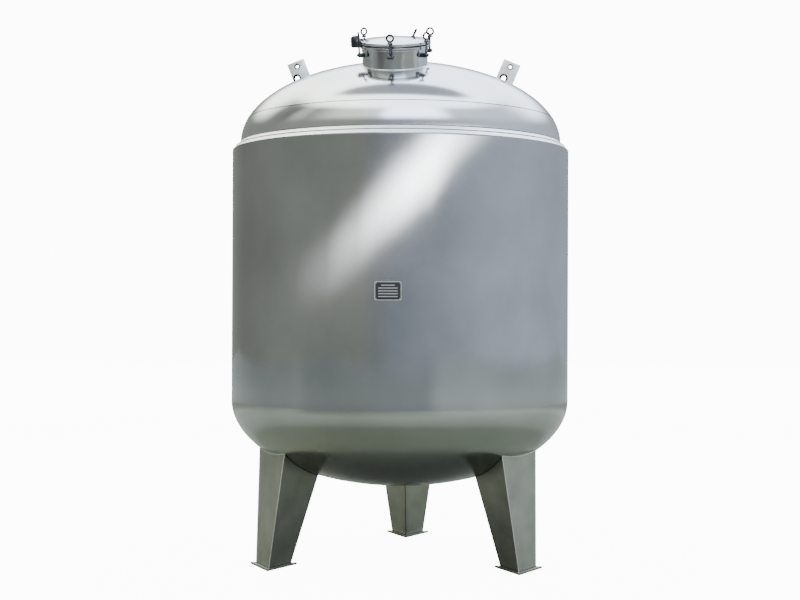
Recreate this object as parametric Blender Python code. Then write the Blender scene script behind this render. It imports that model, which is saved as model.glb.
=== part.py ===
"""Vertical jacketed storage tank on three folded legs, with a bolted manway on its top head."""
import bmesh
import bpy
from math import acos, atan2, cos, pi, radians, sin, sqrt
from mathutils import Matrix, Vector

# Driving sizes in metres; the front faces -Y and the floor is z = 0.
gap = 0.0003
roundSteps = 48
jacketRadius = 1.05
jacketWall = 0.003
jacketTop = 2.532
dishBase = 0.985
jacketDishDepth = 0.53
vesselRadius = 1.0
vesselWall = 0.005
vesselTop = 2.585
headDepth = 0.5
crownSeamRadius = 0.958
dishRows = 8

plateSide = 0.285
plateThickness = 0.012
legSheet = 0.004
legBottomSide = 0.21
legBottomReach = 0.853
legUpperSide = 0.41
legUpperReach = 0.737
legUpperHeight = 0.7
legCutHeight = 0.8
legAngles = {"leg_front_left": -60, "leg_front_right": 60, "leg_back": 180}

manwayReach = 0.54
manwayTurn = -3
neckRadius = 0.193
neckWall = 0.005
neckTop = 0.109
rimOuter = 0.2046
rimBottom = 0.092
gasketTop = 0.1123
lidBottom = 0.1126
lidTop = 0.135
lidDome = 0.162
lidRise = 0.015
boltCircle = 0.226
boltPivotHeight = 0.06
boltLean = 1.5
boltRod = 0.006
boltAngles = [0, 60, 120, 240, 300]
nutSeat = 0.0785
eyeCentre = 0.1115
collarRadius = 0.0155
padSpan = 22.5
padThickness = 0.005
hingeReach = 0.245
hingeHeight = 0.146
handleAngle = 150
handleReach = 0.183
handleLean = 25
handleLength = 0.05

lugReaches = {"lifting_lug_left": -0.6125, "lifting_lug_right": 0.644}
lugWidth = 0.108
lugHeight = 0.143
lugThickness = 0.016
lugEyeDrop = 0.033
lugArchOffsets = {"lifting_lug_left": -0.029, "lifting_lug_right": -0.012}
lugArchRadius = 0.018
lugArchHeight = 0.024

nameplateHeight = 1.652
nameplateSize = (0.15, 0.002, 0.105)


def clearScene():
    for item in list(bpy.data.objects):
        bpy.data.objects.remove(item, do_unlink=True)


def srgb(hexColour):
    values = [int(hexColour[i:i + 2], 16) / 255 for i in (0, 2, 4)]
    return [v / 12.92 if v <= 0.04045 else ((v + 0.055) / 1.055) ** 2.4 for v in values] + [1.0]


def makeMaterial(name, hexColour, roughness, metallic):
    material = bpy.data.materials.new(name)
    material.use_nodes = True
    shader = material.node_tree.nodes["Principled BSDF"]
    shader.inputs["Base Color"].default_value = srgb(hexColour)
    shader.inputs["Roughness"].default_value = roughness
    shader.inputs["Metallic"].default_value = metallic
    return material


looks = {
    "polished": ("b9bdbf", 0.16, 1.0),
    "satin": ("8f9794", 0.34, 1.0),
    "leg": ("87908c", 0.36, 1.0),
    "bolt": ("6f7477", 0.3, 1.0),
    "gasket": ("e6e3da", 0.7, 0.0),
    "plate": ("55585a", 0.45, 0.6),
}


def finish(name, bm, look, matrix=None, smooth=True):
    """Writes the mesh to an object with a material of its own."""
    bmesh.ops.recalc_face_normals(bm, faces=bm.faces)
    if matrix is not None:
        bmesh.ops.transform(bm, matrix=matrix, verts=bm.verts)
    mesh = bpy.data.meshes.new(name)
    bm.to_mesh(mesh)
    bm.free()
    if smooth:
        mesh.shade_smooth()
        mesh.set_sharp_from_angle(angle=radians(30))
    item = bpy.data.objects.new(name, mesh)
    bpy.context.scene.collection.objects.link(item)
    item.data.materials.append(makeMaterial(name + "_finish", *looks[look]))
    return item


def turnedMesh(profile, steps, closed=True, start=0.0, sweep=2 * pi):
    """Turns a profile of (radius, height) pairs about the Z axis."""
    bm = bmesh.new()
    spot = [bm.verts.new((r * cos(start), r * sin(start), z)) for r, z in profile]
    count = len(spot)
    last = count if closed else count - 1
    edges = [bm.edges.new((spot[i], spot[(i + 1) % count])) for i in range(last)]
    fullTurn = abs(sweep - 2 * pi) < 1e-9
    if not fullTurn:
        bm.faces.new(spot)
    turned = bmesh.ops.spin(bm, geom=spot + edges, cent=(0, 0, 0), axis=(0, 0, 1),
                            angle=sweep, steps=steps, use_duplicate=False)
    if fullTurn:
        bmesh.ops.remove_doubles(bm, verts=bm.verts, dist=0.00002)
    else:
        ends = [e for e in turned["geom_last"] if isinstance(e, bmesh.types.BMEdge)]
        bmesh.ops.contextual_create(bm, geom=ends)
    return bm


def blockMesh(size, centre):
    bm = bmesh.new()
    shape = Matrix.Translation(centre) @ Matrix.Diagonal((*size, 1))
    bmesh.ops.create_cube(bm, size=1, matrix=shape)
    return bm


def rodMesh(radius, start, end, sides=16):
    """A closed cylinder between two points."""
    way = Vector(end) - Vector(start)
    turn = way.to_track_quat("Z", "Y").to_matrix().to_4x4()
    middle = Matrix.Translation((Vector(start) + Vector(end)) / 2)
    bm = bmesh.new()
    bmesh.ops.create_cone(bm, cap_ends=True, segments=sides, radius1=radius, radius2=radius,
                          depth=way.length, matrix=middle @ turn)
    return bm


def cutter(name, bm, matrix=None):
    item = finish(name, bm, "satin", matrix, smooth=False)
    item.hide_render = True
    item.display_type = "WIRE"
    return item


def combine(item, other, operation):
    """Adds a live Boolean modifier to the item."""
    step = item.modifiers.new(operation.lower() + "_" + other.name, "BOOLEAN")
    step.operation = operation
    step.solver = "EXACT"
    step.object = other


def bowl(radius, depth, base, sign, inner=0.0, outer=None):
    """Points of a half-ellipse from its edge inward to the radius `inner`."""
    begin = 0.0 if outer is None else acos(outer / radius)
    end = acos(inner / radius)
    points = []
    for row in range(dishRows + 1):
        turn = begin + (end - begin) * row / dishRows
        points.append((radius * cos(turn), base + sign * depth * sin(turn)))
    return points


def buildJacket():
    inside = jacketRadius - jacketWall
    low = dishBase + gap
    profile = [(inside, low), (jacketRadius, low), (jacketRadius, jacketTop), (inside, jacketTop)]
    split = gap / jacketRadius
    for name, start in (("jacket_shell_back", 0.0), ("jacket_shell_front", pi)):
        bm = turnedMesh(profile, roundSteps // 2, start=start + split / 2, sweep=pi - split)
        finish(name, bm, "satin")
    low = jacketTop + gap
    edge = vesselRadius + gap
    high = jacketTop + 0.05
    cone = [(jacketRadius, low), (edge, high), (edge, high - jacketWall * 1.4), (inside, low)]
    finish("jacket_top_cone", turnedMesh(cone, roundSteps), "satin")
    outside = bowl(jacketRadius, jacketDishDepth, dishBase, -1)
    within = bowl(inside, jacketDishDepth - jacketWall, dishBase, -1)
    finish("jacket_bottom_head", turnedMesh(outside[::-1] + within, roundSteps, closed=False), "satin")


def buildVessel():
    inside = vesselRadius - vesselWall
    low = dishBase + gap
    high = vesselTop - gap
    profile = [(inside, low), (vesselRadius, low), (vesselRadius, high), (inside, high)]
    split = gap / vesselRadius
    for name, start in (("vessel_shell_back", 0.0), ("vessel_shell_front", pi)):
        bm = turnedMesh(profile, roundSteps // 2, start=start + split / 2, sweep=pi - split)
        finish(name, bm, "polished")
    outside = bowl(vesselRadius, headDepth, dishBase, -1)
    within = bowl(inside, headDepth - vesselWall, dishBase, -1)
    finish("vessel_bottom_head", turnedMesh(outside[::-1] + within, roundSteps, closed=False), "polished")


def buildTopHead(axisFrame):
    inside = vesselRadius - vesselWall
    seam = crownSeamRadius
    outside = bowl(vesselRadius, headDepth, vesselTop, 1, seam)[::2]
    within = bowl(inside, headDepth - vesselWall, vesselTop, 1, seam - vesselWall)[::2]
    finish("vessel_top_band", turnedMesh(outside + within[::-1], roundSteps), "polished")
    outside = bowl(vesselRadius, headDepth, vesselTop, 1, 0.0, seam - gap)
    within = bowl(inside, headDepth - vesselWall, vesselTop, 1, 0.0, seam - vesselWall - gap)
    bm = turnedMesh(outside[::-1] + within, roundSteps, closed=False)
    crown = finish("vessel_top_crown", bm, "polished")
    hole = cutter("manway_hole", rodMesh(neckRadius + gap, (0, 0, -0.3), (0, 0, 0.3), roundSteps), axisFrame)
    combine(crown, hole, "DIFFERENCE")


def triangle(angle, reach, side, height):
    """Corners of a three-sided section whose flat side faces outward."""
    turn = radians(angle)
    out = Vector((sin(turn), -cos(turn), 0))
    along = Vector((cos(turn), sin(turn), 0))
    level = Vector((0, 0, height))
    flat = out * (reach + side / (2 * sqrt(3))) + level
    return [out * (reach - side / sqrt(3)) + level, flat + along * side / 2, flat - along * side / 2]


def legSection(height):
    share = (height - plateThickness) / (legUpperHeight - plateThickness)
    side = legBottomSide + (legUpperSide - legBottomSide) * share
    reach = legBottomReach + (legUpperReach - legBottomReach) * share
    return reach, side


def legMesh(angle):
    bm = bmesh.new()
    loops = []
    shrink = 2 * sqrt(3) * legSheet
    for inward, height in ((0, plateThickness + gap), (0, legCutHeight),
                           (shrink, legCutHeight), (shrink, plateThickness + gap)):
        reach, side = legSection(height)
        loops.append([bm.verts.new(p) for p in triangle(angle, reach, side - inward, height)])
    for a, b in zip(loops, loops[1:] + loops[:1]):
        for i in range(3):
            j = (i + 1) % 3
            bm.faces.new((a[i], a[j], b[j], b[i]))
    return bm


def buildLegs():
    skin = jacketRadius + gap
    under = bowl(skin, jacketDishDepth + gap, dishBase, -1)
    dish = turnedMesh([(0.0, 1.1), (skin, 1.1)] + under, roundSteps, closed=False)
    dish = cutter("dish_outline", dish)
    for name, angle in legAngles.items():
        leg = finish(name, legMesh(angle), "leg", smooth=False)
        combine(leg, dish, "DIFFERENCE")
        bm = bmesh.new()
        low = [bm.verts.new(p) for p in triangle(angle, legBottomReach + 0.002, plateSide, 0)]
        face = bm.faces.new(low)
        grown = bmesh.ops.extrude_face_region(bm, geom=[face])["geom"]
        lifted = [v for v in grown if isinstance(v, bmesh.types.BMVert)]
        bmesh.ops.translate(bm, vec=(0, 0, plateThickness), verts=lifted)
        finish(name.replace("leg", "foot_plate"), bm, "leg", smooth=False)


def headHeight(radius):
    return vesselTop + headDepth * sqrt(1 - (radius / vesselRadius) ** 2)


def headTilt(radius):
    """The lean of the head's normal from upright at a radius."""
    rise = headDepth ** 2 * radius / (vesselRadius ** 2 * (headHeight(radius) - vesselTop))
    return atan2(rise, 1.0)


def manwayFrame():
    """Local Z is the manway's axis, local -Y its front."""
    spot = Matrix.Translation((0, -manwayReach, headHeight(manwayReach)))
    turn = Matrix.Rotation(radians(manwayTurn), 4, "Z")
    return spot @ Matrix.Rotation(headTilt(manwayReach), 4, "X") @ turn


def buildManway(frame):
    inner = neckRadius - neckWall
    neck = [(inner, -0.03), (neckRadius, -0.03), (neckRadius, neckTop), (inner, neckTop)]
    finish("manway_neck", turnedMesh(neck, roundSteps), "polished", frame)
    rim = [(neckRadius + gap, rimBottom), (rimOuter, rimBottom), (rimOuter, neckTop),
           (neckRadius + gap, neckTop)]
    finish("manway_rim", turnedMesh(rim, roundSteps), "polished", frame)
    seal = [(inner + 0.002, neckTop + gap), (rimOuter - 0.002, neckTop + gap),
            (rimOuter - 0.002, gasketTop), (inner + 0.002, gasketTop)]
    finish("manway_gasket", turnedMesh(seal, roundSteps), "gasket", frame)
    thick = 0.006
    rows = [(lidDome * part, lidTop + lidRise * (1 - part ** 2)) for part in (0, 0.35, 0.7, 1)]
    lid = rows + [(rimOuter, lidTop), (rimOuter, lidBottom), (lidDome - 0.004, lidBottom)]
    lid += [(r, z - thick) for r, z in rows[-2::-1]]
    finish("manway_lid", turnedMesh(lid, roundSteps, closed=False), "polished", frame)


def buildHandle(frame):
    """A short rod on a round foot, leaning outward at the lid's far right."""
    foot = pinFrame(frame, handleAngle, handleReach, lidTop + gap)
    turn = Matrix.Rotation(radians(90 - handleAngle), 4, "Z") @ Matrix.Rotation(radians(handleLean), 4, "Y")
    handle = finish("lid_handle", rodMesh(0.011, (0, 0, 0), (0, 0, 0.005), 20), "bolt", foot)
    rod = cutter("handle_rod", rodMesh(0.0048, (0, 0, 0.003), (0, 0, handleLength), 12), foot @ turn)
    combine(handle, rod, "UNION")


def pinFrame(frame, angle, radius, height):
    """Local X points outward from the manway, local Y along its rim."""
    turn = Matrix.Rotation(radians(angle - 90), 4, "Z")
    return frame @ turn @ Matrix.Translation((radius, 0, height))


def earMesh(near, far, offset, thickness, halfHeight):
    """An upright ear plate with a rounded outer end around the pin."""
    bm = bmesh.new()
    outline = [(near, -halfHeight), (0, -halfHeight)]
    outline += [(far * sin(radians(a)), -halfHeight * cos(radians(a))) for a in range(30, 180, 30)]
    outline += [(0, halfHeight), (near, halfHeight)]
    low = [bm.verts.new((x, offset - thickness / 2, z)) for x, z in outline]
    face = bm.faces.new(low)
    grown = bmesh.ops.extrude_face_region(bm, geom=[face])["geom"]
    moved = [v for v in grown if isinstance(v, bmesh.types.BMVert)]
    bmesh.ops.translate(bm, vec=(0, thickness, 0), verts=moved)
    return bm


def padMesh(angle):
    """A curved pad on the neck below the rim, one step per half facet of the neck."""
    low, high = boltPivotHeight - 0.0095, boltPivotHeight + 0.0095
    inner, outer = neckRadius + gap, neckRadius + gap + padThickness
    profile = [(inner, low), (outer, low), (outer, high), (inner, high)]
    return turnedMesh(profile, 6, start=radians(angle - 90 - padSpan / 2), sweep=radians(padSpan))


def buildSwingBolt(frame, number, angle):
    """A bracket on the neck, the bolt on its pin and the eye nut on top."""
    pivot = pinFrame(frame, angle, boltCircle, boltPivotHeight)
    nearX = neckRadius + 0.003 - boltCircle
    bracket = finish(f"bolt_bracket_{number}", earMesh(nearX, 0.013, 0.0125, 0.006, 0.0115), "bolt", pivot)
    otherEar = cutter(f"bolt_ear_{number}", earMesh(nearX, 0.013, -0.0125, 0.006, 0.0115), pivot)
    pin = cutter(f"bolt_pin_{number}", rodMesh(0.005, (0, -0.018, 0), (0, 0.018, 0), 12), pivot)
    pad = cutter(f"bolt_pad_{number}", padMesh(angle), frame)
    combine(bracket, pin, "UNION")
    combine(bracket, otherEar, "UNION")
    combine(bracket, pad, "UNION")
    lean = Matrix.Rotation(radians(boltLean), 4, "Y")
    turned = Matrix.Translation(pivot.to_translation()) @ pivot.to_3x3().to_4x4() @ lean
    holder = bpy.data.objects.new(f"bolt_axis_{number}", None)
    bpy.context.scene.collection.objects.link(holder)
    holder.matrix_world = turned
    shank = rodMesh(boltRod, (0, 0, 0.008), (0, 0, eyeCentre - 0.0245), 12)
    rod = finish(f"swing_bolt_{number}", shank, "bolt")
    eye = cutter(f"bolt_eye_{number}", rodMesh(0.0125, (0, -0.0085, 0), (0, 0.0085, 0), 16), turned)
    hole = cutter(f"bolt_bore_{number}", rodMesh(0.0056, (0, -0.02, 0), (0, 0.02, 0), 12), turned)
    combine(rod, eye, "UNION")
    combine(rod, hole, "DIFFERENCE")
    rod.parent = holder
    nut = finish(f"eye_nut_{number}", nutMesh(), "bolt")
    ring = bmesh.new()
    sweepRing(ring, 0.0195, 0.0042, 20, 8)
    ring = cutter(f"nut_ring_{number}", ring, turned @ Matrix.Translation((0, 0, eyeCentre)))
    combine(nut, ring, "UNION")
    nut.parent = holder


def nutMesh():
    """The nut's collar and neck, with a blind thread hole from below."""
    top = eyeCentre - 0.0185
    bore = boltRod + gap
    end = eyeCentre - 0.0245 + gap
    profile = [(0, top), (0.0075, top), (0.0105, nutSeat + 0.01), (collarRadius, nutSeat + 0.005),
               (collarRadius, nutSeat), (bore, nutSeat), (bore, end), (0, end)]
    return turnedMesh(profile, 16, closed=False)


def sweepRing(bm, radius, thickness, steps, sides):
    """A ring standing in the plane across the outward direction."""
    turns = [2 * pi * i / sides for i in range(sides)]
    start = [bm.verts.new((thickness * sin(t), 0, radius + thickness * cos(t))) for t in turns]
    edges = [bm.edges.new((start[i], start[(i + 1) % sides])) for i in range(sides)]
    bmesh.ops.spin(bm, geom=start + edges, cent=(0, 0, 0), axis=(1, 0, 0), angle=2 * pi, steps=steps,
                   use_duplicate=False)
    bmesh.ops.remove_doubles(bm, verts=bm.verts, dist=0.00002)


def buildHinge(frame):
    """The lid's hinge on the left of the neck."""
    axis = pinFrame(frame, -90, hingeReach, hingeHeight)
    nearX = rimOuter + 0.0008 - hingeReach
    bracket = finish("hinge_bracket", hingeEar(nearX, 0.0285), "bolt", axis)
    other = cutter("hinge_ear", hingeEar(nearX, -0.0285), axis)
    bridge = cutter("hinge_bridge", blockMesh((0.012, 0.06, 0.012), (nearX + 0.007, 0, -0.047)), axis)
    combine(bracket, bridge, "UNION")
    combine(bracket, other, "UNION")
    finish("hinge_pin", rodMesh(0.005, (0, -0.036, 0), (0, 0.036, 0), 12), "bolt", axis)
    bore = cutter("hinge_bore", rodMesh(0.0053, (0, -0.04, 0), (0, 0.04, 0), 12), axis)
    combine(bracket, bore, "DIFFERENCE")
    strap = finish("hinge_strap", strapMesh(nearX), "bolt", axis)
    combine(strap, bore, "DIFFERENCE")


def hingeEar(near, offset):
    bm = bmesh.new()
    low = rimBottom + 0.001 - hingeHeight
    outline = [(near, low), (near + 0.02, low), (0.012, -0.009), (0.013, 0.004), (0.006, 0.0125)]
    outline += [(-0.006, 0.0125), (-0.02, -0.012), (-0.031, -0.036), (near, -0.0375)]
    side = [bm.verts.new((x, offset - 0.003, z)) for x, z in outline]
    face = bm.faces.new(side)
    grown = bmesh.ops.extrude_face_region(bm, geom=[face])["geom"]
    moved = [v for v in grown if isinstance(v, bmesh.types.BMVert)]
    bmesh.ops.translate(bm, vec=(0, 0.006, 0), verts=moved)
    return bm


def strapMesh(near):
    """A flat arm from the knuckle onto the lid's rim."""
    bm = bmesh.new()
    under = lidTop + gap - hingeHeight
    outline = [(near - 0.019, under), (near - 0.019, under + 0.007), (-0.0125, under + 0.007)]
    outline += [(-0.009, 0.008), (0.0, 0.012), (0.009, 0.008), (0.012, 0.0), (0.009, -0.008), (0.0, -0.0115)]
    outline += [(-0.012, under)]
    side = [bm.verts.new((x, -0.02, z)) for x, z in outline]
    face = bm.faces.new(side)
    grown = bmesh.ops.extrude_face_region(bm, geom=[face])["geom"]
    moved = [v for v in grown if isinstance(v, bmesh.types.BMVert)]
    bmesh.ops.translate(bm, vec=(0, 0.04, 0), verts=moved)
    return bm


def archMesh(offset):
    """A round-topped opening through the lug's foot."""
    bm = bmesh.new()
    outline = [(offset + lugArchRadius, -0.03)]
    outline += [(offset + lugArchRadius * cos(radians(a)), lugArchHeight + lugArchRadius * sin(radians(a)))
                for a in range(0, 181, 15)]
    outline += [(offset - lugArchRadius, -0.03)]
    low = [bm.verts.new((x, -0.03, z)) for x, z in outline]
    face = bm.faces.new(low)
    grown = bmesh.ops.extrude_face_region(bm, geom=[face])["geom"]
    moved = [v for v in grown if isinstance(v, bmesh.types.BMVert)]
    bmesh.ops.translate(bm, vec=(0, 0.06, 0), verts=moved)
    return bm


def buildLug(name, reach):
    """A lifting lug standing square to the head, in the plane through the axis."""
    tilt = headTilt(abs(reach)) * (1 if reach > 0 else -1)
    spot = Matrix.Translation((reach, 0, headHeight(abs(reach))))
    frame = spot @ Matrix.Rotation(tilt, 4, "Y")
    lug = finish(name, blockMesh((lugWidth, lugThickness, lugHeight + 0.03), (0, 0, lugHeight / 2 - 0.015)),
                 "bolt", frame, smooth=False)
    eyeHeight = lugHeight - lugEyeDrop
    eye = cutter(name + "_eye", rodMesh(0.015, (0, -0.03, eyeHeight), (0, 0.03, eyeHeight), 24), frame)
    arch = cutter(name + "_arch", archMesh(lugArchOffsets[name]), frame)
    rise = gap * 1.4
    skin = [(r, z + rise) for r, z in bowl(vesselRadius, headDepth, vesselTop, 1, 0.0, crownSeamRadius - gap)]
    outline = turnedMesh([(0, 2.4), (crownSeamRadius, 2.4)] + skin, roundSteps, closed=False)
    dome = cutter(name + "_seat", outline)
    combine(lug, eye, "DIFFERENCE")
    combine(lug, arch, "DIFFERENCE")
    combine(lug, dome, "DIFFERENCE")


def buildNameplate():
    width, thick, height = nameplateSize
    bm = blockMesh((width, thick, height), (0, -(jacketRadius + gap + thick / 2), nameplateHeight))
    corners = [e for e in bm.edges if abs(e.verts[0].co.y - e.verts[1].co.y) > thick / 2]
    bmesh.ops.bevel(bm, geom=corners, offset=0.008, segments=3, affect="EDGES")
    finish("nameplate", bm, "plate", smooth=False)


def main():
    clearScene()
    frame = manwayFrame()
    buildJacket()
    buildVessel()
    buildTopHead(frame)
    buildLegs()
    buildManway(frame)
    buildHandle(frame)
    buildHinge(frame)
    for number, angle in enumerate(boltAngles, 1):
        buildSwingBolt(frame, number, angle)
    for name, reach in lugReaches.items():
        buildLug(name, reach)
    buildNameplate()


main()
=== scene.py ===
from math import acos, atan2, cos, pi, radians, sin, sqrt

import bmesh
import bpy
from mathutils import Matrix, Vector


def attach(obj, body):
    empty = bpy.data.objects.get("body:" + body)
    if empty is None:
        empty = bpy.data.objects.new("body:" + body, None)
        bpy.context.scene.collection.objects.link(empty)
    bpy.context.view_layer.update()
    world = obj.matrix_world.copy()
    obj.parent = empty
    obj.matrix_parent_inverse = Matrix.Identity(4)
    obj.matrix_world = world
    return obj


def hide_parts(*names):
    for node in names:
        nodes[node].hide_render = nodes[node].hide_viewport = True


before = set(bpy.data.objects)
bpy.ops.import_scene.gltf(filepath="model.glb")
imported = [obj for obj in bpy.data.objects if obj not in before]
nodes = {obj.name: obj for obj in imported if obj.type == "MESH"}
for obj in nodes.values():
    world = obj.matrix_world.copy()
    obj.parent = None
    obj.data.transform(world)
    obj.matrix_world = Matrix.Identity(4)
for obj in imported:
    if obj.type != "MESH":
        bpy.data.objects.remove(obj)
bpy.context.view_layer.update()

print("frame loaded:", len(nodes), "pieces")

# sizes that several pieces share, in metres; the tank's front faces -Y
tank = {
    "jacketRadius": 1.05, "jacketWall": 0.003, "jacketTop": 2.532, "dishBase": 0.985, "dishDepth": 0.53,
    "vesselRadius": 1.0, "vesselWall": 0.005, "vesselTop": 2.585, "headDepth": 0.5, "seamRadius": 0.958,
}


def linearColour(hexColour):
    values = [int(hexColour[i:i + 2], 16) / 255 for i in (0, 2, 4)]
    return [v / 12.92 if v <= 0.04045 else ((v + 0.055) / 1.055) ** 2.4 for v in values] + [1.0]


def addNode(tree, kind, sockets=None, **settings):
    # a socket is given a value, or another node's output to link
    made = tree.nodes.new("ShaderNode" + kind)
    for key, value in settings.items():
        setattr(made, key, value)
    for key, value in (sockets or {}).items():
        if isinstance(value, bpy.types.NodeSocket):
            tree.links.new(value, made.inputs[key])
        else:
            made.inputs[key].default_value = value
    return made


def fillRamp(ramp, stops):
    # sets a colour ramp's stops; a number gives a gray, text gives a colour
    elements = ramp.color_ramp.elements
    while len(elements) < len(stops):
        elements.new(0.5)
    for element, (position, value) in zip(elements, stops):
        element.position = position
        element.color = linearColour(value) if isinstance(value, str) else (value, value, value, 1)


def startMaterial(name):
    material = bpy.data.materials.new(name)
    material.use_nodes = True
    tree = material.node_tree
    return material, tree, tree.nodes["Principled BSDF"], addNode(tree, "TexCoord").outputs["Object"]


# what all the steels share; heights in metres
sheet = {"cloudDetail": 4.0, "darkEnd": 0.3, "lightEnd": 0.7, "grainDetail": 3.0, "grainAcross": 3.0,
         "grainHeight": 0.0004, "waveDetail": 1.0, "waveHeight": 0.01}


def makeSteel(name, settings):
    # stainless sheet: a bare metal, so its colour is all reflection, blurred by fine grain and handling
    material, tree, shader, place = startMaterial(name)
    shader.inputs["Metallic"].default_value = 1.0
    # cloudy handling marks, about as wide as settings["cloudMm"]
    clouds = addNode(tree, "TexNoise", {"Vector": place, "Scale": 1000 / settings["cloudMm"],
                                        "Detail": sheet["cloudDetail"]}).outputs["Fac"]
    ramp = addNode(tree, "ValToRGB", {"Fac": clouds})
    fillRamp(ramp, [(sheet["darkEnd"], settings["dark"]), (sheet["lightEnd"], settings["light"])])
    tree.links.new(ramp.outputs["Color"], shader.inputs["Base Color"])
    # grain lines run level round the shell, settings["grainMm"] apart, coarser than real grit to show at all
    stretch = (sheet["grainAcross"], sheet["grainAcross"], 1000 / settings["grainMm"])
    lines = addNode(tree, "Mapping", {"Vector": place, "Scale": stretch}).outputs["Vector"]
    grain = addNode(tree, "TexNoise", {"Vector": lines, "Scale": 1.0, "Detail": sheet["grainDetail"]})
    grain = grain.outputs["Fac"]
    both = addNode(tree, "Mix", {"Factor": 0.5, "A": clouds, "B": grain}).outputs["Result"]
    smooth, rough = settings["smooth"], settings["rough"]
    blur = addNode(tree, "MapRange", {"Value": both, "To Min": smooth, "To Max": rough})
    tree.links.new(blur.outputs["Result"], shader.inputs["Roughness"])
    # slow waves of thin rolled sheet under the grain
    tall = addNode(tree, "Mapping", {"Vector": place, "Scale": (1.0, 1.0, 1 / settings.get("tall", 1))})
    waves = addNode(tree, "TexNoise", {"Vector": tall.outputs["Vector"], "Scale": 1000 / settings["waveMm"],
                                       "Detail": sheet["waveDetail"]}).outputs["Fac"]
    swell = addNode(tree, "Bump", {"Height": waves, "Strength": settings["wave"],
                                   "Distance": sheet["waveHeight"]})
    fine = addNode(tree, "Bump", {"Height": grain, "Normal": swell.outputs["Normal"],
                                  "Strength": settings["grain"], "Distance": sheet["grainHeight"]})
    tree.links.new(fine.outputs["Normal"], shader.inputs["Normal"])
    return material


# how far the even finishes' mottle swings
mottle = {"darker": 0.85, "paler": 1.12, "roughness": 0.06, "detail": 3.0}


def makePlain(name, settings):
    # an even finish with a faint mottle
    material, tree, shader, place = startMaterial(name)
    shader.inputs["Metallic"].default_value = settings["metallic"]
    specks = addNode(tree, "TexNoise", {"Vector": place, "Scale": 1000 / settings["speckMm"],
                                        "Detail": mottle["detail"]}).outputs["Fac"]
    ramp = addNode(tree, "ValToRGB", {"Fac": specks})
    base = linearColour(settings["colour"])[:3]
    for element, share in zip(ramp.color_ramp.elements, (mottle["darker"], mottle["paler"])):
        element.color = [min(1.0, v * share) for v in base] + [1.0]
    tree.links.new(ramp.outputs["Color"], shader.inputs["Base Color"])
    rough, swing = settings["roughness"], mottle["roughness"]
    rough = addNode(tree, "MapRange", {"Value": specks, "To Min": rough - swing, "To Max": rough + swing})
    tree.links.new(rough.outputs["Result"], shader.inputs["Roughness"])
    return material


steelFinishes = {
    # cold rolled sheet with its mill finish: gray, with large mirror images that stay clear
    "jacketMillFinishSteel": {"dark": "a4a8a9", "light": "b4b8ba", "smooth": 0.06, "rough": 0.1,
                              "cloudMm": 420, "grainMm": 6, "grain": 0.004, "waveMm": 620, "wave": 0.16},
    # spun on a lathe: the same gray, with the mirror images blurred into soft bands
    "dishSpunSteel": {"dark": "a8aca7", "light": "b6bab5", "smooth": 0.17, "rough": 0.25, "cloudMm": 420,
                      "grainMm": 6, "grain": 0.004, "waveMm": 620, "wave": 0.16},
    # spun and brushed: an even, nearly white rim
    "coneSpunSteel": {"dark": "eceff0", "light": "f6f8f8", "smooth": 0.38, "rough": 0.48, "cloudMm": 200,
                      "grainMm": 3, "grain": 0.02, "waveMm": 400, "wave": 0.06},
    # pressed and polished: a bright head that mirrors roof and beam
    "headPolishedSteel": {"dark": "ccd0d2", "light": "dde1e3", "smooth": 0.1, "rough": 0.17, "cloudMm": 500,
                          "grainMm": 5, "grain": 0.01, "waveMm": 420, "wave": 0.12},
    # rolled tube, polished: upright streaks from the rolling
    "manwayPolishedSteel": {"dark": "c0c5c9", "light": "d6dadd", "smooth": 0.06, "rough": 0.14, "cloudMm": 90,
                            "grainMm": 2, "grain": 0.01, "waveMm": 45, "wave": 0.3, "tall": 14},
    # a pressed and polished lid: nearly a mirror
    "lidPolishedSteel": {"dark": "c8ccd0", "light": "dde0e3", "smooth": 0.08, "rough": 0.16, "cloudMm": 110,
                         "grainMm": 2, "grain": 0.01, "waveMm": 160, "wave": 0.05},
    # folded sheet left as rolled: dull, with no clear mirror images
    "legFoldedSheetSteel": {"dark": "96998d", "light": "a8aa9e", "smooth": 0.4, "rough": 0.5, "cloudMm": 160,
                            "grainMm": 3, "grain": 0.01, "waveMm": 300, "wave": 0.1},
    # turned and oiled: dark, with small sharp glints
    "fittingsTurnedSteel": {"dark": "3a3d40", "light": "53575a", "smooth": 0.22, "rough": 0.36, "cloudMm": 25,
                            "grainMm": 1, "grain": 0.1, "waveMm": 60, "wave": 0.02},
    # sanded plate: pale and matt
    "lugSandedPlateSteel": {"dark": "c4cac8", "light": "dde2e0", "smooth": 0.34, "rough": 0.5, "cloudMm": 40,
                            "grainMm": 1, "grain": 0.1, "waveMm": 90, "wave": 0.03},
    # painted shade: an almost black lining with no shine, standing in for the shade inside the lugs' eyes and
    # arches
    "paintedShadeLiningSteel": {"dark": "0c0d0e", "light": "161819", "smooth": 0.6, "rough": 0.75, "cloudMm": 12,
                     "grainMm": 1, "grain": 0.1, "waveMm": 20, "wave": 0.02},
    # a bead left as welded: a bright line with small ripples
    "weldBeadSteel": {"dark": "c8cbc6", "light": "eeefec", "smooth": 0.28, "rough": 0.5, "cloudMm": 8,
                      "grainMm": 3, "grain": 0.5, "waveMm": 12, "wave": 0.2},
}
plainFinishes = {
    # moulded rubber and painted shade: a dull black line under the lid, its lip standing in for the shade in
    # the gap there
    "manwaySealRubberAndShade": {"colour": "26282a", "roughness": 0.62, "metallic": 0.0, "speckMm": 6},
    # etched and darkened sheet: matt, almost black
    "plateEtchedDark": {"colour": "16181c", "roughness": 0.5, "metallic": 0.2, "speckMm": 12},
    # the same sheet left bare: a bright, slightly dull gray
    "plateBrightBorder": {"colour": "aeb2b0", "roughness": 0.35, "metallic": 0.9, "speckMm": 12},
}
finish = {name: makeSteel(name, settings) for name, settings in steelFinishes.items()}
finish.update({name: makePlain(name, settings) for name, settings in plainFinishes.items()})
print("materials made:", len(bpy.data.materials))


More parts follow.
